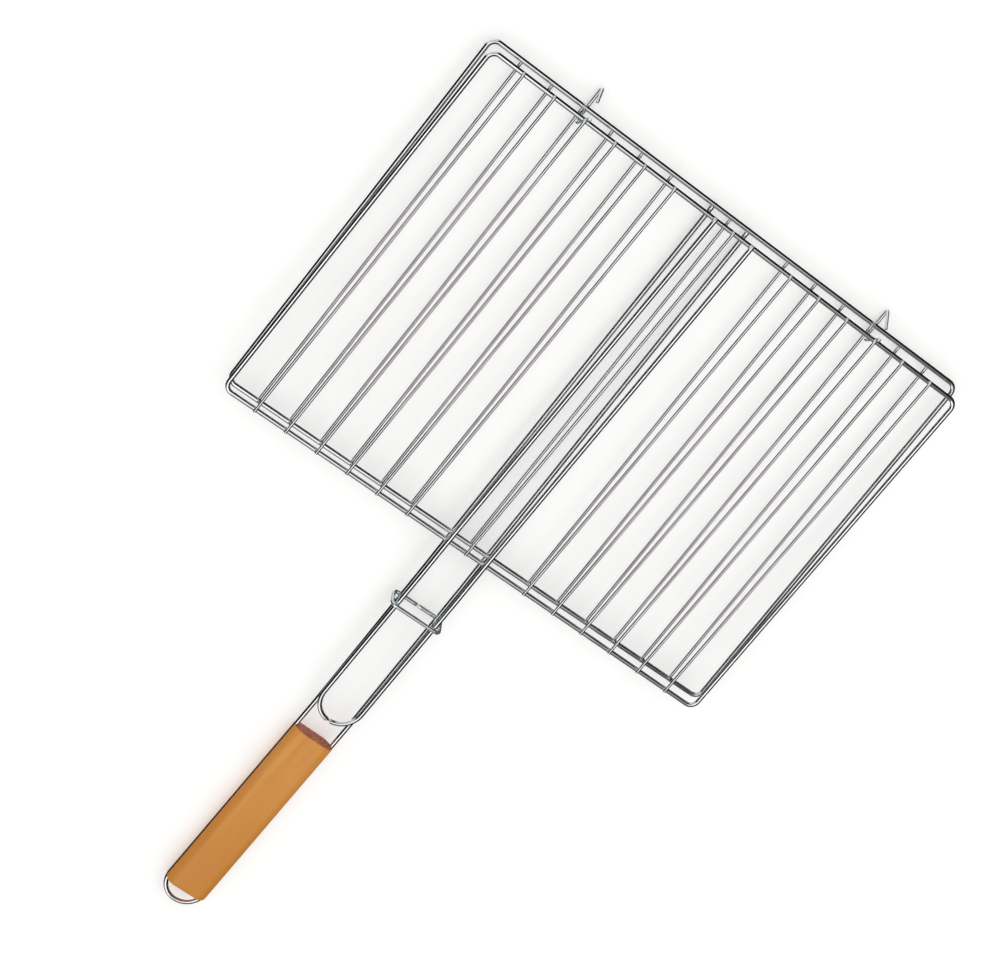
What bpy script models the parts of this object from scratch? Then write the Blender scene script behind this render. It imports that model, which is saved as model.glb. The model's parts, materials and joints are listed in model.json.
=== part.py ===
"""Grill basket: two hinged wire frames, a sliding locking ring and a wooden grip.

Metres, +Z up, lying flat. +Y runs from the grip towards the hinge side and +X across
the basket. The origin is at the bottom centre of the whole object's box.
"""
import math

import bmesh
import bpy
from mathutils import Vector

NAME = "grill_basket"
MM = 0.001

# Driving dimensions
PITCH = 25 * MM                      # spacing of the thin bars
FRAME_WIDTH = 16 * PITCH             # rim wire centre to centre, across
FRAME_DEPTH = 11 * PITCH             # rim wire centre to centre, near to far
CORNER_RADIUS = 6 * MM
BAR_SLOTS = (-7, -6, -5, -4, -3, -2, 0, 2, 3, 4, 5, 6, 7)   # bar positions, in pitches

WIRE_RADIUS = 1.65 * MM              # rims and handle wires
BAR_RADIUS = 1.05 * MM
HOOK_RADIUS = 1.1 * MM
RING_RADIUS = 1.4 * MM
GAP = 0.3 * MM                       # between neighbouring pieces

LOWER_DROP = math.radians(1.0)       # lower frame falls towards the hinge
UPPER_RISE = math.radians(1.37)      # upper frame rises towards the hinge
UPPER_SHIFT = 6 * MM                 # upper near rim lies this far outside the lower one
UPPER_LIFT = 3.15 * MM               # and this far above it, resting on its corners
BOW = 1.3 * MM                       # the clamped handles draw the near rims together
BOW_STEP = 45 * MM                   # longest straight piece of a bowed rim
RACK = 0.0029                        # the frames are out of square, each the other way
ASIDE = 0.25 * MM                    # and stand this far aside, within the hooks' play
HANDLE_ASIDE = 0.35 * MM             # the lower handle's middle is off the frame's

LOWER_LEG = 15.05 * MM               # half the spacing of the lower handle legs
UPPER_LEG = 15.7 * MM                # half the spacing of the upper handle legs
UPPER_HANDLE = 149 * MM              # from the upper near rim to the bend's centreline
LOWER_HANDLE = 322.8 * MM            # from the lower near rim to the loop's centreline

GRIP_WIDTH = 32.4 * MM
GRIP_THICKNESS = 17 * MM
GRIP_START = 171 * MM                # from the lower near rim to the grip's front end
GRIP_LENGTH = 141.5 * MM
GRIP_EDGE = 7.5 * MM                 # radius of the long edges
GRIP_END_EDGES = {-1: 3 * MM, 1: 0.9 * MM}    # radius round the tail and the front end

HANDLE_BEND = 150 * MM               # from here on the handle points a little to one side
HANDLE_YAW = math.radians(1.3)

RING_PLACE = 58.9 * MM               # from the lower near rim, at rest
RING_LEAN = math.radians(21)
RING_HALF_WIDTH = 19.7 * MM
RING_CORNER = 3.4 * MM
RING_SLACK = 0.05 * MM
LEG_SLACK = 0.2 * MM                 # between the handles at the upper one's bend

HOOK_SLOT = 5                        # hooks stand beside these bars
HOOK_OFFSET = 2.6 * MM               # hook to bar, centre to centre
HOOK_INSET = 12.5 * MM               # lower bend, inside the lower far rim
HOOK_BEND = 2.6 * MM
HOOK_TIP_BEND = 1.4 * MM
HOOK_RETURN = 9.5 * MM               # the free end stands this far inside the tip
# side: sign of X, reach beyond the lower far rim, rise of the free end
HOOKS = {"left": (-1, 17.0 * MM, 10.3 * MM), "right": (1, 13.2 * MM, 17.0 * MM)}

STEPS = 6                            # straight pieces in a quarter turn of wire
CHROME = (0.78, 0.78, 0.8, 1.0)
ZINC = (0.7, 0.72, 0.74, 1.0)
WOOD = (0.67, 0.35, 0.12, 1.0)

STACK = 2 * WIRE_RADIUS + GAP        # rim centre to handle wire centre
RIM_TO_BAR = WIRE_RADIUS + BAR_RADIUS + GAP
HANDLE_HEIGHT = GRIP_THICKNESS / 2
NEAR_RIM_HEIGHT = HANDLE_HEIGHT + STACK - BOW    # at its corners


def collection(name):
    """A new collection in the scene."""
    made = bpy.data.collections.new(name)
    bpy.context.scene.collection.children.link(made)
    return made


def material(name, colour, roughness, metallic):
    """A plain Principled material."""
    made = bpy.data.materials.new(name)
    made.use_nodes = True
    shader = made.node_tree.nodes["Principled BSDF"]
    shader.inputs["Base Color"].default_value = colour
    shader.inputs["Roughness"].default_value = roughness
    shader.inputs["Metallic"].default_value = metallic
    return made


def rounded(points, radius, cyclic=False):
    """The polyline through points, with each corner turned into an arc."""
    points = [Vector(p) for p in points]
    count = len(points)
    path = []
    for i, corner in enumerate(points):
        if not cyclic and i in (0, count - 1):
            path.append(corner)
            continue
        back = (points[i - 1] - corner).normalized()
        ahead = (points[(i + 1) % count] - corner).normalized()
        angle = back.angle(ahead)
        turn = math.pi - angle
        reach = radius / math.tan(angle / 2)
        centre = corner + (back + ahead).normalized() * radius / math.sin(angle / 2)
        start = corner + back * reach - centre
        end = corner + ahead * reach - centre
        steps = max(2, math.ceil(STEPS * turn / (math.pi / 2)))
        for k in range(steps + 1):
            share = k / steps
            arm = start * math.sin((1 - share) * turn) + end * math.sin(share * turn)
            path.append(centre + arm / math.sin(turn))
    return path


def divided(path, longest):
    """The closed path with every piece cut to the longest length allowed."""
    finer = []
    for i, start in enumerate(path):
        end = path[(i + 1) % len(path)]
        pieces = max(1, math.ceil((end - start).length / longest))
        finer += [start.lerp(end, k / pieces) for k in range(pieces)]
    return finer


def bow(x, along):
    """How far a frame bends out of its plane: most in the middle of its near rim."""
    across = 1 - (2 * x / FRAME_WIDTH) ** 2
    return BOW * across * (1 - along / FRAME_DEPTH)


def lower_point(x, along, above):
    """A point on the lower frame: along from its near rim, above its plane."""
    above += bow(x, along)
    along += RACK * x
    return Vector((x - ASIDE,
                   NEAR_Y + along * math.cos(LOWER_DROP) + above * math.sin(LOWER_DROP),
                   NEAR_RIM_HEIGHT - along * math.sin(LOWER_DROP) + above * math.cos(LOWER_DROP)))


def upper_point(x, along, above):
    """A point on the upper frame: along from its near rim, above its plane."""
    above -= bow(x, along)
    along -= RACK * x
    rise = along * math.sin(UPPER_RISE) + above * math.cos(UPPER_RISE)
    return Vector((x + ASIDE,
                   NEAR_Y - UPPER_SHIFT + along * math.cos(UPPER_RISE) - above * math.sin(UPPER_RISE),
                   NEAR_RIM_HEIGHT + UPPER_LIFT + rise))


def handle_point(x, along):
    """A point on the level lower handle, along from the lower near rim."""
    beyond = min(0, along + HANDLE_BEND)
    if beyond < 0:
        along = beyond * math.cos(HANDLE_YAW) - x * math.sin(HANDLE_YAW) - HANDLE_BEND
        x = beyond * math.sin(HANDLE_YAW) + x * math.cos(HANDLE_YAW)
    return Vector((x + HANDLE_ASIDE, NEAR_Y + along, HANDLE_HEIGHT))


def hook_path(side, hinge, far_rim):
    """Centreline of one hinge hook: from the upper far rim, under the lower one and back up."""
    sign, reach, rise = HOOKS[side]
    x = sign * HOOK_SLOT * PITCH + HOOK_OFFSET
    beside = far_rim.y - RACK * x + WIRE_RADIUS + HOOK_RADIUS + GAP
    axis = hinge.y + RACK * x
    bottom = HOOK_RADIUS
    corners = [(x, beside, far_rim.z + WIRE_RADIUS),
               (x, beside, far_rim.z - WIRE_RADIUS * 0.7),
               (x, axis - HOOK_INSET, bottom),
               (x, axis + reach, bottom),
               (x, axis + reach - HOOK_RETURN, bottom + rise)]
    wrapped = rounded(corners[:4], HOOK_BEND)
    tip = rounded([corners[2], corners[3], corners[4]], HOOK_TIP_BEND)
    return wrapped[:-1] + tip[1:]


def wire(name, points, radius, finish, group, parent=None, cyclic=False, resolution=4):
    """A round wire along points, given in world coordinates."""
    origin = parent.location.copy() if parent else points[0].copy()
    curve = bpy.data.curves.new(name, "CURVE")
    curve.dimensions = "3D"
    curve.bevel_depth = radius
    curve.bevel_resolution = resolution
    curve.use_fill_caps = True
    spline = curve.splines.new("POLY")
    spline.points.add(len(points) - 1)
    for knot, point in zip(spline.points, points):
        knot.co = (*(point - origin), 1.0)
    spline.use_cyclic_u = cyclic
    spline.use_smooth = True
    curve.materials.append(finish)
    made = bpy.data.objects.new(name, curve)
    group.objects.link(made)
    if parent:
        made.parent = parent
    else:
        made.location = origin
    return made


def pivot(name, location, group):
    """An empty on a joint's axis, which moving pieces hang from."""
    made = bpy.data.objects.new(name, None)
    made.empty_display_size = 0.02
    made.location = location
    group.objects.link(made)
    return made


def rim_points(place):
    """The rounded rectangle of a frame's rim."""
    half = FRAME_WIDTH / 2
    corners = [(-half, 0, 0), (half, 0, 0), (half, FRAME_DEPTH, 0), (-half, FRAME_DEPTH, 0)]
    outline = divided(rounded(corners, CORNER_RADIUS, cyclic=True), BOW_STEP)
    return [place(point.x, point.y, 0) for point in outline]


def frame_bars(prefix, place, above, group, parent):
    """The thin bars of one frame, cut flush with the outside of its rim."""
    for number, slot in enumerate(BAR_SLOTS, start=1):
        x = slot * PITCH
        ends = [place(x, -WIRE_RADIUS, above), place(x, FRAME_DEPTH + WIRE_RADIUS, above)]
        name = f"{prefix}_bar_{number:02d}"
        finish = material(name, CHROME, 0.25, 1.0)
        wire(name, ends, BAR_RADIUS, finish, group, parent)


def lower_handle_points():
    """Both legs of the lower handle wire, level beyond the rim, and the loop between them."""
    far = FRAME_DEPTH + WIRE_RADIUS
    left_far, right_far = [lower_point(x, far, -STACK) for x in (-LOWER_LEG, LOWER_LEG)]
    left, right = [[handle_point(x, along) for along in (0, -HANDLE_BEND, -LOWER_HANDLE)]
                   for x in (-LOWER_LEG, LOWER_LEG)]
    bend = rounded(left + right[::-1], LOWER_LEG * 0.9999)
    return [left_far] + bend + [right_far]


def upper_leg(x, along):
    """A point on the upper handle beyond its rim, where it slopes down to the lower one."""
    start = upper_point(x, 0, STACK)
    end = handle_point(x, -UPPER_SHIFT - UPPER_HANDLE) + Vector((ASIDE - HANDLE_ASIDE, 0, STACK + LEG_SLACK))
    return start.lerp(end, -along / UPPER_HANDLE)


def upper_handle_points():
    """The upper handle wire: two straight legs and a round end."""
    far = FRAME_DEPTH + WIRE_RADIUS
    legs = (-UPPER_LEG, UPPER_LEG)
    left_far, right_far = [upper_point(x, far, STACK) for x in legs]
    left_rim, right_rim = [upper_leg(x, 0) for x in legs]
    left_end, right_end = [upper_leg(x, -UPPER_HANDLE) for x in legs]
    bend = rounded([left_rim, left_end, right_end, right_rim], UPPER_LEG * 0.9999)
    return [left_far] + bend + [right_far]


def ring_points(centre, half_height):
    """The locking ring: a rounded rectangle that leans towards the grip at its top."""
    corners = [(-RING_HALF_WIDTH, -half_height), (RING_HALF_WIDTH, -half_height),
               (RING_HALF_WIDTH, half_height), (-RING_HALF_WIDTH, half_height)]
    upright = Vector((0, -math.sin(RING_LEAN), math.cos(RING_LEAN)))
    placed = [centre + Vector((x, 0, 0)) + upright * up for x, up in corners]
    return rounded(placed, RING_CORNER, cyclic=True)


def locking_ring(group):
    """The ring round all four handle legs, resting where the legs spread."""
    upper_height = upper_leg(0, UPPER_SHIFT - RING_PLACE).z
    reach = WIRE_RADIUS + RING_RADIUS + GAP + RING_SLACK
    top = upper_height + reach
    bottom = HANDLE_HEIGHT - reach
    centre = Vector((0, NEAR_Y - RING_PLACE, (top + bottom) / 2))
    half_height = (top - bottom) / 2 / math.cos(RING_LEAN)
    slide = pivot("ring_slide", centre, group)
    finish = material("locking_ring", ZINC, 0.3, 1.0)
    wire("locking_ring", ring_points(centre, half_height), RING_RADIUS, finish, group, slide, cyclic=True)


def solid_of(source, group):
    """A closed mesh object made from a curve object, which is then removed."""
    bpy.context.view_layer.update()
    evaluated = source.evaluated_get(bpy.context.evaluated_depsgraph_get())
    mesh = bpy.data.meshes.new_from_object(evaluated)
    body = bmesh.new()
    body.from_mesh(mesh)
    bmesh.ops.remove_doubles(body, verts=body.verts, dist=0.01 * MM)
    body.to_mesh(mesh)
    body.free()
    name = source.name
    matrix = source.matrix_world.copy()
    bpy.data.objects.remove(source)
    made = bpy.data.objects.new(name, mesh)
    made.matrix_world = matrix
    group.objects.link(made)
    return made


def wooden_grip(group, cutters):
    """A wooden block with round sides and a groove in each for the handle wire."""
    finish = material("wooden_grip", WOOD, 0.45, 0.0)
    body = bmesh.new()
    bmesh.ops.create_cube(body, size=1.0)
    bmesh.ops.scale(body, vec=(GRIP_WIDTH, GRIP_LENGTH, GRIP_THICKNESS), verts=body.verts)
    long_edges = [e for e in body.edges if abs((e.verts[0].co - e.verts[1].co).y) > GRIP_LENGTH / 2]
    bmesh.ops.bevel(body, geom=long_edges, offset=GRIP_EDGE, segments=6, profile=0.5, affect="EDGES")
    for end, edge in GRIP_END_EDGES.items():
        outline = [e for e in body.edges if min(v.co.y * end for v in e.verts) > GRIP_LENGTH / 2 - GAP]
        bmesh.ops.bevel(body, geom=outline, offset=edge, segments=3, profile=0.5, affect="EDGES")
    mesh = bpy.data.meshes.new("wooden_grip")
    body.to_mesh(mesh)
    body.free()
    mesh.shade_smooth()
    mesh.set_sharp_from_angle(angle=math.radians(40))
    mesh.materials.append(finish)
    grip = bpy.data.objects.new("wooden_grip", mesh)
    grip.location = handle_point(0, -GRIP_START - GRIP_LENGTH / 2)
    grip.rotation_euler.z = -HANDLE_YAW
    group.objects.link(grip)

    tube = wire("groove_cutter", lower_handle_points(), WIRE_RADIUS + GAP, finish, cutters)
    cutter = solid_of(tube, cutters)
    cutter.hide_render = True
    cutter.display_type = "WIRE"
    grooves = grip.modifiers.new("grooves", "BOOLEAN")
    grooves.operation = "DIFFERENCE"
    grooves.object = cutter


def lower_frame(group):
    """The lower rim with its bars and the long handle wire welded under it."""
    finish = material("lower_rim", CHROME, 0.2, 1.0)
    wire("lower_rim", rim_points(lower_point), WIRE_RADIUS, finish, group, cyclic=True)
    frame_bars("lower", lower_point, -RIM_TO_BAR, group, None)
    finish = material("lower_handle_wire", CHROME, 0.2, 1.0)
    wire("lower_handle_wire", lower_handle_points(), WIRE_RADIUS, finish, group)


def upper_frame(group):
    """The upper frame, with its hooks, turning on the lower far rim."""
    hinge_place = lower_point(0, FRAME_DEPTH, 0)
    far_rim = upper_point(0, FRAME_DEPTH, 0)
    hinge = pivot("upper_hinge", hinge_place, group)
    finish = material("upper_rim", CHROME, 0.2, 1.0)
    wire("upper_rim", rim_points(upper_point), WIRE_RADIUS, finish, group, hinge, cyclic=True)
    frame_bars("upper", upper_point, RIM_TO_BAR, group, hinge)
    finish = material("upper_handle_wire", CHROME, 0.2, 1.0)
    wire("upper_handle_wire", upper_handle_points(), WIRE_RADIUS, finish, group, hinge)
    for side in HOOKS:
        name = f"hinge_hook_{side}"
        finish = material(name, ZINC, 0.3, 1.0)
        wire(name, hook_path(side, hinge_place, far_rim), HOOK_RADIUS, finish, group, hinge)


def near_rim_y():
    """Where the lower near rim goes, for the whole object to be centred on Y = 0."""
    hinge = Vector((0, FRAME_DEPTH * math.cos(LOWER_DROP), 0))
    far_rim = Vector((0, FRAME_DEPTH * math.cos(UPPER_RISE) - UPPER_SHIFT,
                      NEAR_RIM_HEIGHT + UPPER_LIFT + FRAME_DEPTH * math.sin(UPPER_RISE)))
    tips = [max(point.y for point in hook_path(side, hinge, far_rim)) for side in HOOKS]
    tail = (HANDLE_BEND - LOWER_HANDLE) * math.cos(HANDLE_YAW) - HANDLE_BEND - WIRE_RADIUS
    return -(max(tips) + HOOK_RADIUS + tail) / 2


NEAR_Y = near_rim_y()


def main():
    for old in list(bpy.data.objects):
        bpy.data.objects.remove(old)
    group = collection(NAME)
    cutters = collection("cutters")
    lower_frame(group)
    wooden_grip(group, cutters)
    upper_frame(group)
    locking_ring(group)


main()
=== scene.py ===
"""Looks of the grill basket: drawn chrome wire, spot welds, zinc hooks and ring, varnished wood.

Metres, +Z up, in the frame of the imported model. Each CAD wire is replaced by a smooth one on
the same centreline, sunk a little into its neighbours where the real ones are welded.
"""

import json
import math
import random

import bpy
import numpy as np
from mathutils import Matrix, Vector


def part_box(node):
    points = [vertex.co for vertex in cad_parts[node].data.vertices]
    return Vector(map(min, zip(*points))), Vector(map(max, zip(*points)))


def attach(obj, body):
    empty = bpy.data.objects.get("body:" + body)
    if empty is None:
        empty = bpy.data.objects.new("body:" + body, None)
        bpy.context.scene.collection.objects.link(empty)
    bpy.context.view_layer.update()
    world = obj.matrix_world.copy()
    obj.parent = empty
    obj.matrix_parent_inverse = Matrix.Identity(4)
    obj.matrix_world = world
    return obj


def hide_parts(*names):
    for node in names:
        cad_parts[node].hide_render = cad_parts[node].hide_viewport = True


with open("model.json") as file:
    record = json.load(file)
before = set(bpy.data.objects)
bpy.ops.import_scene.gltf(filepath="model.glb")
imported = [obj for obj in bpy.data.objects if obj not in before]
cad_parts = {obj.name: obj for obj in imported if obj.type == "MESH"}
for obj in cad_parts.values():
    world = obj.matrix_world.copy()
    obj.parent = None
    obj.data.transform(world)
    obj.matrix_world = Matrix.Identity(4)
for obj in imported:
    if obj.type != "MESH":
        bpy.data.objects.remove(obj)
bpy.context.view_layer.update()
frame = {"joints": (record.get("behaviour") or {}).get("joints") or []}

MM = 0.001

# The wires' centrelines, as in the CAD model
PITCH = 25 * MM
FRAME_WIDTH = 16 * PITCH
FRAME_DEPTH = 11 * PITCH
CORNER_RADIUS = 6 * MM
BAR_SLOTS = (-7, -6, -5, -4, -3, -2, 0, 2, 3, 4, 5, 6, 7)
WIRE_RADIUS = 1.65 * MM
BAR_RADIUS = 1.05 * MM
HOOK_RADIUS = 1.1 * MM
RING_RADIUS = 1.4 * MM
LOWER_DROP = math.radians(1.0)
UPPER_RISE = math.radians(1.37)
UPPER_SHIFT = 6 * MM
UPPER_LIFT = 3.15 * MM
BOW = 1.3 * MM
RACK = 0.0029
ASIDE = 0.25 * MM
HANDLE_ASIDE = 0.35 * MM
LOWER_LEG = 15.05 * MM
UPPER_LEG = 15.7 * MM
UPPER_HANDLE = 149 * MM
LOWER_HANDLE = 322.8 * MM
GRIP_WIDTH = 32.4 * MM
GRIP_THICKNESS = 17 * MM
GRIP_START = 171 * MM
GRIP_LENGTH = 141.5 * MM
GRIP_EDGE = 7.5 * MM
GRIP_TAIL_EDGE = 3 * MM
GRIP_FRONT_EDGE = 0.9 * MM
HANDLE_BEND = 150 * MM
HANDLE_YAW = math.radians(1.3)
STACK = 2 * WIRE_RADIUS + 0.3 * MM
RING_LEAN = math.radians(21)
RING_HALF_WIDTH = 19.7 * MM
RING_CORNER = 3.4 * MM
LEG_SLACK = 0.2 * MM                 # between the handles at the upper one's bend
HOOK_SLOT = 5                        # hooks stand beside these bars
HOOK_OFFSET = 2.6 * MM               # hook to bar, centre to centre
HOOK_INSET = 12.5 * MM
HOOK_BEND = 2.6 * MM
HOOK_TIP_BEND = 1.4 * MM
HOOK_RETURN = 9.5 * MM
# Each hook's side, reach beyond the hinge and rise at its free end
HOOKS = {"left": (-1, 17.0 * MM, 10.3 * MM), "right": (1, 13.2 * MM, 17.0 * MM)}

HANDLE_HEIGHT = GRIP_THICKNESS / 2
NEAR_RIM_HEIGHT = HANDLE_HEIGHT + STACK - BOW
HINGE = Vector(frame["joints"][0]["pos_m"])
NEAR_Y = HINGE.y - FRAME_DEPTH * math.cos(LOWER_DROP)

# Only in the looks
SINK = 0.45 * MM                     # how far a welded wire is pressed into the next one
HOOK_SINK = 0.3 * MM
DRAWN = 0.998                        # how much of its nominal radius a drawn wire keeps
WELDED_BAR = WIRE_RADIUS + BAR_RADIUS - SINK
WELDED_WIRE = 2 * WIRE_RADIUS - SINK
BLEND_IN = 30 * MM                   # beyond the rim, the handles are back on the CAD line
RING_JOINT = 0.9 * MM                # gap between the ring's butted ends
ARC_STEPS = 14                       # per quarter turn
STEP = 6 * MM                        # longest piece of a straight wire
SHORT_STEP = 2.5 * MM                # in the hooks
RING_STEP = 3 * MM
WAVINESS = 0.12 * MM                 # of the thin bars
GRIP_WEAR = 0.0025                   # share of the grip's size that is worn off in its dips
GRIP_SLICES = 60
GROWTH_RING = 3.1 * MM
PITH_ASIDE = 1 * MM
SHARP_EDGE = math.radians(50)
rng = random.Random(7)


# ---------------------------------------------------------------- centrelines

def bow(x, along):
    """How far the clamped near rims are pressed together, fading out towards the far rim."""
    across = 1 - (2 * x / FRAME_WIDTH) ** 2
    return BOW * across * (1 - along / FRAME_DEPTH)


def lower_point(x, along, above):
    """A point on the lower frame: along from its near rim, above its plane."""
    above += bow(x, along)
    along += RACK * x
    return Vector((x - ASIDE,
                   NEAR_Y + along * math.cos(LOWER_DROP) + above * math.sin(LOWER_DROP),
                   NEAR_RIM_HEIGHT - along * math.sin(LOWER_DROP) + above * math.cos(LOWER_DROP)))


def upper_point(x, along, above):
    """A point on the upper frame: along from its near rim, above its plane."""
    above -= bow(x, along)
    along -= RACK * x
    rise = along * math.sin(UPPER_RISE) + above * math.cos(UPPER_RISE)
    return Vector((x + ASIDE,
                   NEAR_Y - UPPER_SHIFT + along * math.cos(UPPER_RISE) - above * math.sin(UPPER_RISE),
                   NEAR_RIM_HEIGHT + UPPER_LIFT + rise))


def handle_point(x, along):
    """A point on the level lower handle, along from the lower near rim."""
    beyond = min(0, along + HANDLE_BEND)
    if beyond < 0:
        along = beyond * math.cos(HANDLE_YAW) - x * math.sin(HANDLE_YAW) - HANDLE_BEND
        x = beyond * math.sin(HANDLE_YAW) + x * math.cos(HANDLE_YAW)
    return Vector((x + HANDLE_ASIDE, NEAR_Y + along, HANDLE_HEIGHT))


def upper_leg(x, along):
    """A point on the upper handle beyond its rim, where it slopes down to the lower one."""
    start = upper_point(x, 0, STACK)
    end = handle_point(x, -UPPER_SHIFT - UPPER_HANDLE)
    end += Vector((ASIDE - HANDLE_ASIDE, 0, STACK + LEG_SLACK))
    return start.lerp(end, -along / UPPER_HANDLE)


def rounded(points, radius, cyclic=False):
    """The polyline through points, with each corner turned into a smooth arc."""
    points = [Vector(p) for p in points]
    count = len(points)
    path = []
    for i, corner in enumerate(points):
        if not cyclic and i in (0, count - 1):
            path.append(corner)
            continue
        back = (points[i - 1] - corner).normalized()
        ahead = (points[(i + 1) % count] - corner).normalized()
        angle = back.angle(ahead)
        turn = math.pi - angle
        reach = radius / math.tan(angle / 2)
        centre = corner + (back + ahead).normalized() * radius / math.sin(angle / 2)
        start = corner + back * reach - centre
        end = corner + ahead * reach - centre
        steps = max(2, math.ceil(ARC_STEPS * turn / (math.pi / 2)))
        for k in range(steps + 1):
            share = k / steps
            arm = start * math.sin((1 - share) * turn) + end * math.sin(share * turn)
            path.append(centre + arm / math.sin(turn))
    return path


def filled(path, longest, cyclic=False):
    """The path with its long pieces cut to at most the longest length."""
    finer = []
    last = len(path) if cyclic else len(path) - 1
    for i in range(last):
        start, end = path[i], path[(i + 1) % len(path)]
        pieces = max(1, math.ceil((end - start).length / longest))
        finer += [start.lerp(end, k / pieces) for k in range(pieces)]
    return finer if cyclic else finer + [path[-1]]


def rim_path(place):
    """A frame's rounded rectangle."""
    half = FRAME_WIDTH / 2
    corners = [(-half, 0, 0), (half, 0, 0), (half, FRAME_DEPTH, 0), (-half, FRAME_DEPTH, 0)]
    outline = filled(rounded(corners, CORNER_RADIUS, cyclic=True), STEP, cyclic=True)
    return [place(point.x, point.y, 0) for point in outline]


def lower_handle_path():
    """One wire: both legs under the lower frame, past the grip and round the hanging loop."""
    far = FRAME_DEPTH + WIRE_RADIUS
    legs = (-LOWER_LEG, LOWER_LEG)
    left_far, right_far = [lower_point(x, far, -WELDED_WIRE) for x in legs]
    left_rim, right_rim = [lower_point(x, 0, -WELDED_WIRE) for x in legs]
    left, right = [[handle_point(x, along) for along in (-BLEND_IN, -HANDLE_BEND, -LOWER_HANDLE)]
                   for x in legs]
    bend = rounded(left + right[::-1], LOWER_LEG * 0.9999)
    return filled([left_far, left_rim] + bend + [right_rim, right_far], STEP)


def upper_handle_path():
    """One wire: both legs on the upper frame and the round end before the grip."""
    far = FRAME_DEPTH + WIRE_RADIUS
    legs = (-UPPER_LEG, UPPER_LEG)
    left_far, right_far = [upper_point(x, far, WELDED_WIRE) for x in legs]
    left_rim, right_rim = [upper_point(x, 0, WELDED_WIRE) for x in legs]
    left_leg, right_leg = [upper_leg(x, -BLEND_IN) for x in legs]
    left_end, right_end = [upper_leg(x, -UPPER_HANDLE) for x in legs]
    bend = rounded([left_leg, left_end, right_end, right_leg], UPPER_LEG * 0.9999)
    return filled([left_far, left_rim] + bend + [right_rim, right_far], STEP)


def hook_path(side):
    """A hook's wire, from the upper far rim down, under the lower far rim and back up."""
    sign, reach, rise = HOOKS[side]
    x = sign * HOOK_SLOT * PITCH + HOOK_OFFSET
    far_rim = upper_point(x, FRAME_DEPTH, 0)
    beside = far_rim.y + WIRE_RADIUS + HOOK_RADIUS - HOOK_SINK
    axis = HINGE.y + RACK * x
    bottom = HOOK_RADIUS
    corners = [(x, beside, far_rim.z + WIRE_RADIUS),
               (x, beside, far_rim.z - WIRE_RADIUS * 0.7),
               (x, axis - HOOK_INSET, bottom),
               (x, axis + reach, bottom),
               (x, axis + reach - HOOK_RETURN, bottom + rise)]
    wrapped = rounded(corners[:4], HOOK_BEND)
    tip = rounded(corners[2:], HOOK_TIP_BEND)
    return filled(wrapped[:-1] + tip[1:], SHORT_STEP)


def ring_path():
    """The locking ring's wire, from one butted end round to the other."""
    low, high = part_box("locking_ring")
    centre = (low + high) / 2
    upright = Vector((0, -math.sin(RING_LEAN), math.cos(RING_LEAN)))
    half_height = ((high.z - low.z) / 2 - RING_RADIUS) / math.cos(RING_LEAN)
    half = RING_HALF_WIDTH
    corners = [(RING_JOINT / 2, -half_height), (half, -half_height), (half, half_height),
               (-half, half_height), (-half, -half_height), (-RING_JOINT / 2, -half_height)]
    placed = [centre + Vector((x, 0, 0)) + upright * up for x, up in corners]
    return filled(rounded(placed, RING_CORNER), RING_STEP)


# ---------------------------------------------------------------- meshes

def wobble(path, size, cyclic=False):
    """The path with a slight waviness, which fades out towards open ends."""
    lengths = [0.0]
    for a, b in zip(path, path[1:]):
        lengths.append(lengths[-1] + (b - a).length)
    total = lengths[-1]
    waves = []
    for axis in range(3):
        turns = rng.choice((2, 3)) if cyclic else rng.uniform(1.2, 2.6)
        waves.append((turns, rng.uniform(0, math.tau), rng.uniform(0.4, 1.0)))
    bent = []
    for point, at in zip(path, lengths):
        share = at / total
        fade = 1.0 if cyclic else math.sin(math.pi * share)
        shift = [size * fade * amount * math.sin(math.tau * turns * share + phase)
                 for turns, phase, amount in waves]
        bent.append(point + Vector(shift))
    return bent


def frames_along(path, cyclic):
    """A steady pair of cross directions at each point of the path."""
    points = np.array(path)
    ahead = np.roll(points, -1, 0) - points
    behind = points - np.roll(points, 1, 0)
    if not cyclic:
        ahead[-1] = behind[-1]
        behind[0] = ahead[0]
    tangents = ahead / np.linalg.norm(ahead, axis=1)[:, None]
    tangents += behind / np.linalg.norm(behind, axis=1)[:, None]
    tangents /= np.linalg.norm(tangents, axis=1)[:, None]
    start = np.array((0.0, 0.0, 1.0)) if abs(tangents[0][2]) < 0.9 else np.array((1.0, 0.0, 0.0))
    sides = []
    side = np.cross(tangents[0], start)
    for tangent in tangents:
        side = side - tangent * side.dot(tangent)
        side /= np.linalg.norm(side)
        sides.append(side)
    sides = np.array(sides)
    ups = np.cross(sides, tangents)
    if cyclic:
        closing = sides[-1] - tangents[0] * sides[-1].dot(tangents[0])
        twist = math.atan2(closing.dot(ups[0]), closing.dot(sides[0]))
        angles = -twist * np.arange(len(points)) / len(points)
        cos, sin = np.cos(angles)[:, None], np.sin(angles)[:, None]
        sides, ups = sides * cos + ups * sin, ups * cos - sides * sin
    return points, tangents, sides, ups


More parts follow.
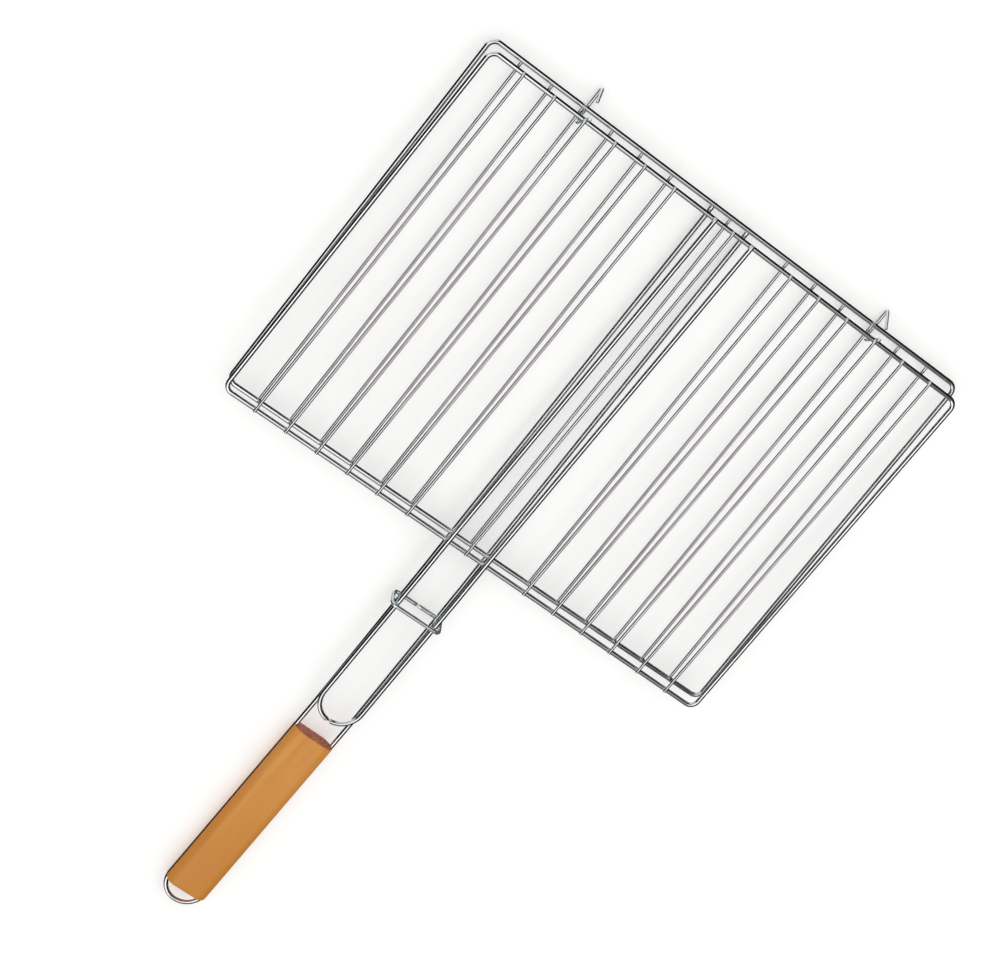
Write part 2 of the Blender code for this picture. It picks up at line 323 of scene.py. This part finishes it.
def tube(path, radii, around=18, cyclic=False, slant=0.25):
    """Vertices and faces of a round wire. Open ends are sheared, slightly domed and rounded off."""
    points, tangents, sides, ups = frames_along(path, cyclic)
    radii = np.broadcast_to(radii, len(points))
    angles = np.arange(around) * math.tau / around
    circle = (np.cos(angles)[None, :, None] * sides[:, None, :]
              + np.sin(angles)[None, :, None] * ups[:, None, :])
    rings = [points[i] + circle[i] * radii[i] for i in range(len(points))]
    if not cyclic:
        shear = np.cos(angles)[:, None] * slant
        for end, sign in ((0, -1), (-1, 1)):
            radius = radii[end]
            back = -sign * tangents[end] * radius
            rings[end] = rings[end] + back * (0.32 + shear * 0.5)
            dome = 0.06 + np.abs(shear) * 0.2 + shear * 0.5
            rim = points[end] + circle[end] * radius * 0.86 + back * dome
            flat = points[end] + circle[end] * radius * 0.45 + back * (0.04 + shear * 0.3)
            rings = [flat, rim] + rings if end == 0 else rings + [rim, flat]
    vertices = [tuple(v) for ring in rings for v in ring]
    count = len(rings)
    faces = []
    for i in range(count if cyclic else count - 1):
        j = (i + 1) % count
        for k in range(around):
            m = (k + 1) % around
            faces.append((i * around + k, i * around + m, j * around + m, j * around + k))
    if not cyclic:
        faces.append(tuple(range(around))[::-1])
        faces.append(tuple(range((count - 1) * around, count * around)))
    return vertices, faces


def piece(name, vertices, faces, finish, body, slot, stands_for=(), place=None):
    """A smooth mesh object that rides on a body and takes the place of CAD nodes."""
    mesh = bpy.data.meshes.new(name)
    mesh.from_pydata(vertices, [], faces)
    mesh.validate()
    mesh.shade_smooth()
    mesh.set_sharp_from_angle(angle=SHARP_EDGE)
    mesh.materials.append(finish)
    made = bpy.data.objects.new(name, mesh)
    bpy.context.scene.collection.objects.link(made)
    if place:
        made.matrix_world = place
    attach(made, body)
    if stands_for:
        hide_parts(*stands_for)
    return made


def weld_shade_marks(made, spots, reach):
    """Stores on each vertex how close it is to a weld, from 0 to 1, which sets the painted shade round
    the welds.
    """
    count = len(made.data.vertices)
    places = np.zeros(count * 3, np.float32)
    made.data.vertices.foreach_get("co", places)
    places = places.reshape(-1, 3)
    heat = np.zeros(count, np.float32)
    for spot in spots:
        away = np.linalg.norm(places - np.array(spot, np.float32), axis=1)
        heat = np.maximum(heat, np.exp(-((away / reach) ** 2)))
    marks = made.data.attributes.new("heat", "FLOAT", "POINT")
    marks.data.foreach_set("value", heat.astype(np.float32))


def nuggets(spots):
    """Small irregular beads of melted metal, one at each (place, across, along, thick)."""
    vertices, faces = [], []
    around, levels = 12, 6
    for place, across, along, thick in spots:
        base = len(vertices)
        bumps = [rng.uniform(0.86, 1.14) for k in range(around)]
        for level in range(1, levels):
            polar = math.pi * level / levels
            for k in range(around):
                turn = math.tau * k / around
                swell = bumps[k] * rng.uniform(0.95, 1.05)
                vertices.append((place.x + across * swell * math.sin(polar) * math.cos(turn),
                                 place.y + along * swell * math.sin(polar) * math.sin(turn),
                                 place.z + thick * math.cos(polar)))
        top, bottom = len(vertices), len(vertices) + 1
        vertices.append((place.x, place.y, place.z + thick))
        vertices.append((place.x, place.y, place.z - thick))
        for k in range(around):
            m = (k + 1) % around
            faces.append((base + k, base + m, top)[::-1])
            for level in range(levels - 2):
                a, b = base + level * around, base + (level + 1) * around
                faces.append((a + k, b + k, b + m, a + m))
            last = base + (levels - 2) * around
            faces.append((last + m, last + k, bottom)[::-1])
    return vertices, faces


# ---------------------------------------------------------------- materials

class Nodes:
    """A small helper that builds one node material."""

    def __init__(self, name):
        self.material = bpy.data.materials.new(name)
        self.material.use_nodes = True
        self.tree = self.material.node_tree
        self.shader = self.tree.nodes["Principled BSDF"]

    def add(self, kind, **settings):
        node = self.tree.nodes.new(kind)
        for key, value in settings.items():
            setattr(node, key, value)
        return node

    def feed(self, node, **values):
        """Sets or links inputs: the key is the input's name with _ for a space."""
        for key, value in values.items():
            by_number = key[0] == "i" and key[1:].isdigit()
            socket = node.inputs[int(key[1:]) if by_number else key.replace("_", " ")]
            if isinstance(value, bpy.types.NodeSocket):
                self.tree.links.new(value, socket)
            else:
                socket.default_value = value
        return node

    def place(self, scale=(1, 1, 1), offset=(0, 0, 0)):
        where = self.add("ShaderNodeTexCoord")
        mapping = self.feed(self.add("ShaderNodeMapping"), Scale=scale, Location=offset)
        self.tree.links.new(where.outputs["Object"], mapping.inputs["Vector"])
        return mapping.outputs["Vector"]

    def noise(self, vector, scale, detail=3.0, roughness=0.5, distortion=0.0):
        node = self.add("ShaderNodeTexNoise")
        self.feed(node, Vector=vector, Scale=scale, Detail=detail, Roughness=roughness,
                  Distortion=distortion)
        return node.outputs["Fac"]

    def ramp(self, value, *stops):
        node = self.add("ShaderNodeValToRGB")
        elements = node.color_ramp.elements
        while len(elements) < len(stops):
            elements.new(0.5)
        for element, (position, colour) in zip(elements, stops):
            element.position = position
            element.color = (*colour, 1.0)
        self.tree.links.new(value, node.inputs["Fac"])
        return node.outputs["Color"]

    def math(self, operation, a, b=0.0, c=0.0, clamp=False):
        node = self.add("ShaderNodeMath", operation=operation, use_clamp=clamp)
        self.feed(node, i0=a, i1=b, i2=c)
        return node.outputs["Value"]

    def length(self, a, b):
        squares = self.math("ADD", self.math("MULTIPLY", a, a), self.math("MULTIPLY", b, b))
        return self.math("SQRT", squares)

    def between(self, value, low, high, out_low=0.0, out_high=1.0, smooth=False):
        node = self.add("ShaderNodeMapRange")
        node.interpolation_type = "SMOOTHSTEP" if smooth else "LINEAR"
        self.feed(node, Value=value, From_Min=low, From_Max=high, To_Min=out_low, To_Max=out_high)
        return node.outputs["Result"]

    def mix(self, share, a, b, blend="MIX"):
        node = self.add("ShaderNodeMix", data_type="RGBA", blend_type=blend)
        self.feed(node, i0=share, i6=a, i7=b)
        return node.outputs[2]

    def bump(self, height, strength, distance):
        node = self.feed(self.add("ShaderNodeBump"), Height=height, Strength=strength, Distance=distance)
        return node.outputs["Normal"]


# Painted shade and dark reflection in the corners where the wires are welded
WELD_SHADE = (0.34, 0.44, 0.44, 1.0)
STAIN = (0.55, 0.50, 0.44)


def metal(name, light, dark, smooth, rough, seed, tint=STAIN, metallic=1.0):
    """Plated steel wire: faint colour drift, drawing marks, small stains, and painted shade and dark
    reflection as dark teal patches round the welds.
    """
    n = Nodes(name)
    n.feed(n.shader, Metallic=metallic)
    drift = n.noise(n.place(offset=(seed, 0, 0)), 26.0, 3.0)
    colour = n.ramp(drift, (0.32, dark), (0.62, light))
    stain = n.between(n.noise(n.place(offset=(0, seed, 0)), 120.0, 4.0, 0.6), 0.58, 0.78)
    colour = n.mix(n.math("MULTIPLY", stain, 0.45), colour, (*tint, 1.0))
    # Painted shade and dark reflection close to each weld: the wire turns dark teal there, in spots
    heat = n.add("ShaderNodeAttribute", attribute_name="heat").outputs["Fac"]
    speck = n.noise(n.place(), 1500.0, 3.0, 0.7)
    spotty_weld_shade = n.math("MULTIPLY", heat, n.between(speck, 0.25, 0.65, 0.45, 1.0), clamp=True)
    colour = n.mix(spotty_weld_shade, colour, WELD_SHADE)
    marks = n.noise(n.place(scale=(1, 0.06, 1)), 2600.0, 2.0, 0.6)
    fine = n.math("ADD", n.math("MULTIPLY", marks, 0.6), n.math("MULTIPLY", speck, 0.4))
    gloss = n.between(drift, 0.3, 0.7, smooth, rough)
    gloss = n.math("ADD", gloss, n.math("MULTIPLY", stain, 0.12))
    gloss = n.math("ADD", gloss, n.math("MULTIPLY", spotty_weld_shade, 0.28), clamp=True)
    n.feed(n.shader, Base_Color=colour, Roughness=gloss, Normal=n.bump(fine, 0.25, 0.00005))
    return n.material


def bead_metal():
    """The rough metal of a weld bead, painted dark teal for the shade and dark reflection in the corner
    where the wires meet.
    """
    n = Nodes("weld_metal")
    n.feed(n.shader, Metallic=0.6)
    grain = n.noise(n.place(), 900.0, 5.0, 0.65)
    patch = n.noise(n.place(offset=(1, 2, 3)), 260.0, 3.0)
    # Painted shade and dark reflection: dark teal with near-black grain
    colour = n.ramp(patch, (0.3, (0.17, 0.27, 0.28)), (0.5, (0.34, 0.48, 0.47)),
                    (0.72, (0.50, 0.52, 0.47)))
    colour = n.mix(n.between(grain, 0.5, 0.75, 0.0, 0.6), colour, (0.08, 0.09, 0.09, 1.0))
    n.feed(n.shader, Base_Color=colour, Roughness=n.between(grain, 0.3, 0.7, 0.28, 0.6),
           Normal=n.bump(grain, 0.7, 0.0002))
    return n.material


def late_wood(n, x, z, drift, swirl):
    """The dark part of each growth ring round a pith that wanders a little, from 0 to 1."""
    across = n.math("ADD", n.math("ADD", x, -PITH_ASIDE), n.math("MULTIPLY", drift, 0.006))
    down = n.math("ADD", n.math("ADD", z, -PITH_ASIDE), n.math("MULTIPLY", swirl, 0.012))
    growth = n.math("FRACT", n.math("DIVIDE", n.length(across, down), GROWTH_RING))
    late = n.between(growth, 0.45, 0.9, smooth=True)
    return n.math("MULTIPLY", late, n.between(growth, 0.94, 1.0, 1.0, 0.0))


def wood_face(n, x, y, late, fibre):
    """The colour of the long sides: broad drift, faint rings, fibres, flecks and painted shade along the
    left side.
    """
    fleck = n.noise(n.place(scale=(1, 0.09, 1), offset=(3, 1, 2)), 1300.0, 2.0, 0.5)
    broad = n.noise(n.place(scale=(1, 0.07, 1), offset=(5, 0, 1)), 170.0, 3.0, 0.55)
    face = n.ramp(broad, (0.28, (0.63, 0.245, 0.033)), (0.5, (0.70, 0.285, 0.043)),
                  (0.74, (0.74, 0.325, 0.058)))
    face = n.mix(n.math("MULTIPLY", late, 0.12), face, (0.52, 0.185, 0.036, 1.0))
    face = n.mix(n.between(fibre, 0.45, 0.75, 0.0, 0.20), face, (0.52, 0.190, 0.042, 1.0))
    face = n.mix(n.between(fleck, 0.62, 0.72, 0.0, 0.22), face, (0.46, 0.150, 0.036, 1.0))
    # Painted shade: the left rounded side is darker, as if turned away from the light
    left = n.between(x, -0.0110, -0.0150, smooth=True)
    face = n.mix(n.math("MULTIPLY", left, 0.30), face, (0.56, 0.200, 0.042, 1.0))
    return n.mix(n.between(y, 0.045, -0.045, 0.15, 0.85), face, (0.60, 0.222, 0.020, 1.0))


def wood_end(n, late, swirl, pores):
    """The colour of the end grain: darker, with the growth rings in full."""
    end = n.ramp(swirl, (0.3, (0.42, 0.095, 0.024)), (0.7, (0.64, 0.185, 0.050)))
    end = n.mix(n.math("MULTIPLY", late, 0.9), end, (0.150, 0.034, 0.014, 1.0))
    return n.mix(n.between(pores, 0.52, 0.68, 0.0, 0.4), end, (0.72, 0.290, 0.130, 1.0))


def wood():
    """Varnished beech, with a dark rim where the wire leaves each groove and painted shade in patches on
    its rounded sides.
    """
    n = Nodes("grip_wood")
    split = n.feed(n.add("ShaderNodeSeparateXYZ"), Vector=n.place())
    x, y, z = split.outputs
    drift = n.noise(n.place(scale=(1, 0.12, 1)), 60.0, 3.0)
    swirl = n.noise(n.place(offset=(2, 0, 5), scale=(1, 0.1, 1)), 130.0, 2.0, 0.5, 0.6)
    fibre = n.noise(n.place(scale=(1, 0.018, 1)), 2400.0, 4.0, 0.62)
    pores = n.noise(n.place(), 2600.0, 2.0, 0.6)
    late = late_wood(n, x, z, drift, swirl)
    half = GRIP_LENGTH / 2
    at_end = n.between(n.math("ABSOLUTE", y), half - 0.5 * MM, half - 0.1 * MM, smooth=True)
    colour = n.mix(at_end, wood_face(n, x, y, late, fibre), wood_end(n, late, swirl, pores))
    aside = n.math("ABSOLUTE", x)
    from_leg = n.length(n.math("SUBTRACT", aside, LOWER_LEG), z)
    groove = n.between(from_leg, WIRE_RADIUS + 0.9 * MM, WIRE_RADIUS + 0.35 * MM)
    colour = n.mix(n.math("MULTIPLY", groove, at_end), colour, (0.035, 0.012, 0.008, 1.0))
    # Painted shade: both rounded sides are darker in patches, where they turn away from the light
    wear_and_edge_shade = n.math("MULTIPLY", n.between(aside, 0.0138, 0.0168), n.between(drift, 0.4, 0.65))
    colour = n.mix(n.math("MULTIPLY", wear_and_edge_shade, 0.35), colour, (0.50, 0.190, 0.050, 1.0))
    pitted = n.math("MULTIPLY", pores, n.math("MULTIPLY", at_end, 0.9))
    height = n.math("ADD", n.math("MULTIPLY", fibre, 0.6), pitted)
    rough = n.between(fibre, 0.35, 0.7, 0.36, 0.52)
    rough = n.math("ADD", rough, n.math("MULTIPLY", at_end, 0.22), clamp=True)
    n.feed(n.shader, Base_Color=colour, Roughness=rough, Normal=n.bump(height, 0.35, 0.00012))
    n.feed(n.shader, Coat_Weight=0.15, Coat_Roughness=0.3)
    return n.material


CHROME = metal("chrome_rim", (0.91, 0.92, 0.93), (0.78, 0.79, 0.80), 0.05, 0.11, 1.0)
THIN = metal("chrome_bar", (0.95, 0.94, 0.97), (0.78, 0.75, 0.76), 0.05, 0.11, 4.0, (0.62, 0.48, 0.46))
ZINC = metal("zinc_wire", (0.95, 0.98, 0.98), (0.80, 0.86, 0.87), 0.10, 0.20, 8.0, metallic=0.88)
BEAD = bead_metal()
WOOD = wood()


# ---------------------------------------------------------------- the basket

def build_frame(prefix, body, place, sign, handle):
    """A rim, its thin bars, its handle wire and all the welds between them."""
    legs = LOWER_LEG if prefix == "lower" else UPPER_LEG
    crossings = [(slot * PITCH, BAR_RADIUS) for slot in BAR_SLOTS]
    crossings += [(-legs, WIRE_RADIUS), (legs, WIRE_RADIUS)]
    ends = (0, FRAME_DEPTH)
    contact = sign * (WIRE_RADIUS - SINK / 2)
    spots = [place(x, along, contact) for x, radius in crossings for along in ends]

    path = rim_path(place)
    radii = np.full(len(path), WIRE_RADIUS * DRAWN)
    seam = min(range(len(path)), key=lambda i: (path[i] - place(0.11, 0, 0)).length)
    radii[seam] *= 1.06
    made = piece(f"{prefix}_rim_wire", *tube(path, radii, 20, cyclic=True), CHROME, body,
                 "chromed_wire", [f"{prefix}_rim"])
    weld_shade_marks(made, spots, 2.4 * MM)

    for number, slot in enumerate(BAR_SLOTS, start=1):
        x = slot * PITCH
        tips = [place(x, -WIRE_RADIUS * 0.95, sign * WELDED_BAR),
                place(x, FRAME_DEPTH + WIRE_RADIUS * 0.95, sign * WELDED_BAR)]
        path = wobble(filled(tips, STEP), WAVINESS)
        made = piece(f"{prefix}_bar_wire_{number:02d}", *tube(path, BAR_RADIUS, 16), THIN, body,
                     "chromed_wire", [f"{prefix}_bar_{number:02d}"])
        weld_shade_marks(made, [place(x, along, contact) for along in ends], 3.0 * MM)

    made = piece(f"{prefix}_handle", *tube(handle, WIRE_RADIUS * DRAWN, 20), CHROME, body,
                 "chromed_wire", [f"{prefix}_handle_wire"])
    weld_shade_marks(made, spots[-4:], 3.2 * MM)

    beads = []
    for x, radius in crossings:
        for along in ends:
            middle = place(x, along, contact)
            wide = radius * rng.uniform(1.35, 1.6)
            deep = WIRE_RADIUS * rng.uniform(0.75, 0.95)
            beads.append((middle, wide, deep, rng.uniform(0.5, 0.65) * MM))
    piece(f"{prefix}_welds", *nuggets(beads), BEAD, body, "chromed_wire")


def build_hook(side):
    """One hinge hook and its weld to the upper far rim."""
    path = hook_path(side)
    made = piece(f"hinge_hook_wire_{side}", *tube(path, HOOK_RADIUS * DRAWN, 18), ZINC, "upper_frame",
                 "zinc_wire", [f"hinge_hook_{side}"])
    rim = upper_point(path[0].x - ASIDE, FRAME_DEPTH, 0)
    contact = Vector((path[0].x, rim.y + WIRE_RADIUS * 0.9, rim.z))
    weld_shade_marks(made, [contact], 2.8 * MM)
    beads = [(contact, HOOK_RADIUS * 1.5, 0.75 * MM, WIRE_RADIUS * 0.85)]
    piece(f"hinge_hook_weld_{side}", *nuggets(beads), BEAD, "upper_frame", "zinc_wire")


def grip_outline(inset):
    """The grip's cross-section, a block with round sides, made smaller by the inset."""
    edge = GRIP_EDGE - inset
    half_w, half_h = GRIP_WIDTH / 2 - inset - edge, GRIP_THICKNESS / 2 - inset - edge
    outline = []
    for quarter, (sx, sz) in enumerate(((1, 1), (-1, 1), (-1, -1), (1, -1))):
        for k in range(10):
            turn = math.pi / 2 * (quarter + k / 9)
            outline.append((sx * half_w + edge * math.cos(turn), sz * half_h + edge * math.sin(turn)))
        across = quarter % 2 == 0
        for k in range(1, 6 if across else 3):
            share = 1 - 2 * k / 6 if across else 1 - 2 * k / 3
            side = (sx * half_w * share, sz * (half_h + edge)) if across else \
                (sx * (half_w + edge), sz * half_h * share)
            outline.append(side)
    return outline


def build_grip():
    """The grip with its slightly uneven surface, built round its own middle, with rounded ends."""
    half = GRIP_LENGTH / 2
    quarter = [math.pi / 2 * k / 6 for k in range(7)]
    tail = [(GRIP_TAIL_EDGE * (1 - math.cos(turn)), GRIP_TAIL_EDGE * (1 - math.sin(turn)))
            for turn in quarter]
    front = [(2 * half - GRIP_FRONT_EDGE * (1 - math.cos(turn)), GRIP_FRONT_EDGE * (1 - math.sin(turn)))
             for turn in quarter[::-1]]
    straight = 2 * half - GRIP_TAIL_EDGE - GRIP_FRONT_EDGE
    middle = [(GRIP_TAIL_EDGE + straight * k / GRIP_SLICES, 0.0) for k in range(1, GRIP_SLICES)]
    stations = tail + middle + front
    count = len(grip_outline(0.0))
    waves = [(rng.uniform(20, 70), rng.uniform(0, 6), rng.uniform(0, 6)) for k in range(3)]
    vertices = []
    for at, inset in stations:
        for x, z in grip_outline(inset):
            dip = sum(math.sin(rate * at + phase + turn * x * 100) for rate, phase, turn in waves)
            wear_and_edge_shade = 0.9995 - GRIP_WEAR * (1 + dip / 3)
            vertices.append((x * wear_and_edge_shade, at - half, z * wear_and_edge_shade))
    faces = []
    for i in range(len(stations) - 1):
        for k in range(count):
            m = (k + 1) % count
            faces.append((i * count + k, (i + 1) * count + k, (i + 1) * count + m, i * count + m))
    for end in (0, len(stations) - 1):
        at, inset = stations[end]
        rings = [end * count]
        for share in (0.75, 0.5, 0.25):
            rings.append(len(vertices))
            vertices += [(x * share, at - half, z * share) for x, z in grip_outline(inset)]
        centre = len(vertices)
        vertices.append((0, at - half, 0))
        cap = [(a + k, a + (k + 1) % count, b + (k + 1) % count, b + k)
               for a, b in zip(rings, rings[1:]) for k in range(count)]
        cap += [(rings[-1] + k, rings[-1] + (k + 1) % count, centre) for k in range(count)]
        faces += cap if end == 0 else [face[::-1] for face in cap]
    place = Matrix.Translation(handle_point(0, -GRIP_START - GRIP_LENGTH / 2))
    place @= Matrix.Rotation(-HANDLE_YAW, 4, "Z")
    piece("grip_block", vertices, faces, WOOD, "lower_frame", "grip_wood", ["wooden_grip"], place)


build_frame("lower", "lower_frame", lower_point, -1, lower_handle_path())
build_frame("upper", "upper_frame", upper_point, 1, upper_handle_path())
for hook_side in HOOKS:
    build_hook(hook_side)
piece("locking_ring_wire", *tube(ring_path(), RING_RADIUS, 20), ZINC, "locking_ring",
      "zinc_wire", ["locking_ring"])
build_grip()


# ---------------------------------------------------------------- studio

# The soft light's edges as slopes x/z and y/z, how soft they are, and its strength
LIGHT_X = (-0.65, 0.42)
LIGHT_Y = (-2.5, 0.40)
LIGHT_SOFT = (0.12, 0.15)
LIGHT_LEVEL = 1.2

# What else the metal mirrors: a dim room, pale patches below, near and beside, and the strength
# of the plain dome that lights everything rough
ROOM_LEVEL = 0.008
NEAR_LEVEL = 0.20
SIDE_LEVEL = 0.75
FLOOR_LEVEL = 0.7
DOME_LEVEL = 1.0

FLOOR_HALF = 6.0
FLOOR_GAP = 0.4 * MM
FLOOR_GLOW = 0.30


def surround():
    """A dim room with one soft light overhead and pale patches, which only the metal mirrors,
    a plain dome for diffuse light, and a pale backdrop for the camera."""
    world = bpy.data.worlds.new("surround")
    world.use_nodes = True
    tree = world.node_tree

    def node(kind, *inputs, **settings):
        made = tree.nodes.new(kind)
        for key, value in settings.items():
            setattr(made, key, value)
        for i, value in enumerate(inputs):
            if isinstance(value, bpy.types.NodeSocket):
                tree.links.new(value, made.inputs[i])
            elif value is not None:
                made.inputs[i].default_value = value
        return made.outputs[0]

    def step(value, low, high):
        return node("ShaderNodeMapRange", value, low, high, 0.0, 1.0)

    def times(a, b):
        return node("ShaderNodeMath", a, b, operation="MULTIPLY")

    where = tree.nodes.new("ShaderNodeTexCoord").outputs["Generated"]
    split = tree.nodes.new("ShaderNodeSeparateXYZ")
    tree.links.new(where, split.inputs[0])
    x, y, z = split.outputs
    height = node("ShaderNodeMath", z, 0.02, operation="MAXIMUM")
    across = node("ShaderNodeMath", x, height, operation="DIVIDE")
    along = node("ShaderNodeMath", y, height, operation="DIVIDE")
    share = step(z, 0.0, 0.05)
    for value, (low, high), soft in zip((across, along), (LIGHT_X, LIGHT_Y), LIGHT_SOFT):
        share = times(share, step(value, low - soft, low + soft))
        share = times(share, step(value, high + soft, high - soft))
    level = node("ShaderNodeMath", share, LIGHT_LEVEL, ROOM_LEVEL, operation="MULTIPLY_ADD")
    below, near = step(z, -0.80, -0.92), step(y, -0.62, -0.82)
    beside = times(times(step(x, 0.05, -0.15), step(y, 0.02, 0.20)), step(z, 0.75, 0.55))
    for share, strength in ((below, FLOOR_LEVEL), (near, NEAR_LEVEL), (beside, SIDE_LEVEL)):
        level = node("ShaderNodeMath", level, times(share, strength), operation="ADD")
    mirrored = node("ShaderNodeBackground", (0.99, 1.0, 1.0, 1.0), level)
    soft = times(step(z, -0.1, 0.5), DOME_LEVEL)
    dome = node("ShaderNodeBackground", (1.0, 0.995, 0.985, 1.0), soft)
    ray = tree.nodes.new("ShaderNodeLightPath").outputs
    lit = node("ShaderNodeMixShader", ray["Is Diffuse Ray"], mirrored, dome)
    seen = node("ShaderNodeBackground", (0.97, 0.97, 0.97, 1.0), 1.0)
    mixed = node("ShaderNodeMixShader", ray["Is Camera Ray"], lit, seen)
    tree.links.new(mixed, tree.nodes["World Output"].inputs["Surface"])
    return world


def studio():
    """A pale floor, the surround and the camera."""
    scene = bpy.context.scene
    scene.view_settings.view_transform = "Standard"
    mesh = bpy.data.meshes.new("floor")
    corners = [(sx * FLOOR_HALF, sy * FLOOR_HALF, 0) for sx, sy in ((-1, -1), (1, -1), (1, 1), (-1, 1))]
    mesh.from_pydata(corners, [], [(0, 1, 2, 3)])
    n = Nodes("floor_paper")
    grain = n.noise(n.place(), 40.0, 2.0)
    colour = n.ramp(grain, (0.3, (0.80, 0.80, 0.79)), (0.7, (0.82, 0.82, 0.81)))
    n.feed(n.shader, Base_Color=colour, Roughness=0.9, Emission_Color=(1.0, 1.0, 0.995, 1.0),
           Emission_Strength=FLOOR_GLOW)
    mesh.materials.append(n.material)
    floor = bpy.data.objects.new("floor", mesh)
    floor.location.z = -FLOOR_GAP
    scene.collection.objects.link(floor)
    floor.visible_glossy = False

    scene.world = surround()

    lens = bpy.data.cameras.new("camera")
    lens.sensor_width = 36.0
    lens.lens = 110.4053
    lens.clip_end = 50.0
    camera = bpy.data.objects.new("camera", lens)
    turn = Matrix(((0.769595, -0.533906, -0.35024),
                   (0.618183, 0.760356, 0.199268),
                   (0.159917, -0.369868, 0.915218)))
    camera.matrix_world = Matrix.Translation((-0.717427, 0.464924, 1.849109)) @ turn.to_4x4()
    scene.collection.objects.link(camera)
    scene.camera = camera


studio()
bpy.context.view_layer.update()
